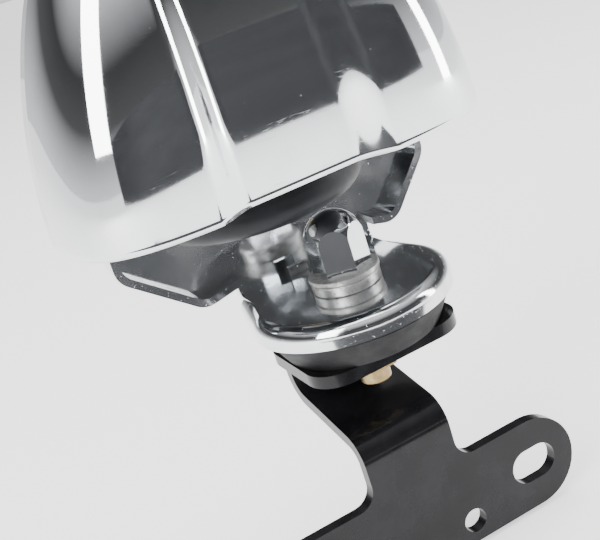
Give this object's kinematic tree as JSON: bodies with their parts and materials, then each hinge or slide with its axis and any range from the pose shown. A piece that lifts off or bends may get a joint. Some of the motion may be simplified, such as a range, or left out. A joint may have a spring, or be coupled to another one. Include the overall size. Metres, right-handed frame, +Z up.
{
  "type": "vehicle_horn",
  "caption": "Electric vehicle horn with a black bowl under a three-panel chrome hood, on a chrome foot that is rubber-mounted to a cranked black steel bracket.",
  "frame": {"origin": "Centre of the small round hole in the mounting bracket, on the rear face that lies against the vehicle.", "axes": "+Z up along the stud, +Y to the rear through the bracket plate, -Y to the front of the hood, +X to the right seen from the front."},
  "size_m": [0.1054, 0.074, 0.1939],
  "materials": {
    "bracket_paint": "gloss black paint",
    "chrome_plate": "bright chrome plating, lightly scratched",
    "horn_black": "satin black paint",
    "mount_rubber": "matt black rubber",
    "zinc_steel": "dull zinc, slightly corroded",
    "gold_zinc": "yellow zinc",
    "plain_steel": "plain steel",
    "spring_steel": "spring steel",
    "copper_wire": "enamelled copper wire",
    "contact_brass": "brass",
    "insulator": "brown insulating board",
    "gasket_paper": "fibre gasket"
  },
  "bodies": {
    "base": {"mounting_bracket": "bracket_paint", "rubber_isolator": "mount_rubber", "stud_flange": "plain_steel", "mount_stud": "gold_zinc", "stud_nut": "gold_zinc", "stud_nut_washer": "zinc_steel", "spacer_collar": "zinc_steel", "flat_washer": "zinc_steel", "acorn_nut": "chrome_plate"},
    "horn_unit": {"horn_bracket": "chrome_plate", "horn_bowl": "horn_black", "mount_ring": "horn_black", "lug_screws": "zinc_steel", "lug_nuts": "zinc_steel", "flange_gasket": "gasket_paper", "diaphragm": "spring_steel", "clamp_ring": "horn_black", "rim_rivets": "plain_steel", "pole_core": "plain_steel", "pole_bolt": "zinc_steel", "coil_bobbin": "insulator", "coil_winding": "copper_wire", "arm_post": "plain_steel", "arm_pin": "spring_steel", "fixed_contact": "contact_brass", "terminal_block": "insulator", "terminal_blades": "contact_brass", "tone_screw_nut": "zinc_steel", "hood": "chrome_plate", "hood_stud": "zinc_steel", "hood_spacer": "plain_steel", "hood_washer": "zinc_steel", "hood_nut": "zinc_steel"},
    "armature_unit": {"armature": "plain_steel", "tone_disc": "horn_black", "tone_disc_nut": "zinc_steel"},
    "breaker_arm": {"contact_arm": "spring_steel"},
    "tone_adjuster": {"tone_screw": "contact_brass"}
  },
  "joints": [
    {"name": "horn_swivel", "type": "hinge", "parent": "base", "child": "horn_unit", "pos_m": [-0.0102, 0.0078, 0.0714], "axis": [0, 0, 1], "range_deg": [-15, 15]},
    {"name": "armature_slide", "type": "slide", "parent": "horn_unit", "child": "armature_unit", "axis": [0, 0, 1], "range_m": [-0.0006, 0], "stiffness_N_per_m": 6000},
    {"name": "breaker_hinge", "type": "hinge", "parent": "horn_unit", "child": "breaker_arm", "pos_m": [-0.0409, 0.0131, 0.12], "axis": [0, 1, 0], "range_deg": [0, 3.2]},
    {"name": "tone_screw_turn", "type": "hinge", "parent": "horn_unit", "child": "tone_adjuster", "pos_m": [-0.0154, 0.0266, 0.0934], "axis": [0, 0, 1], "range_deg": [-180, 180]}
  ],
  "couplings": [
    {"joint": "breaker_hinge", "follows": "armature_slide", "rad_per_m": -90}
  ]
}
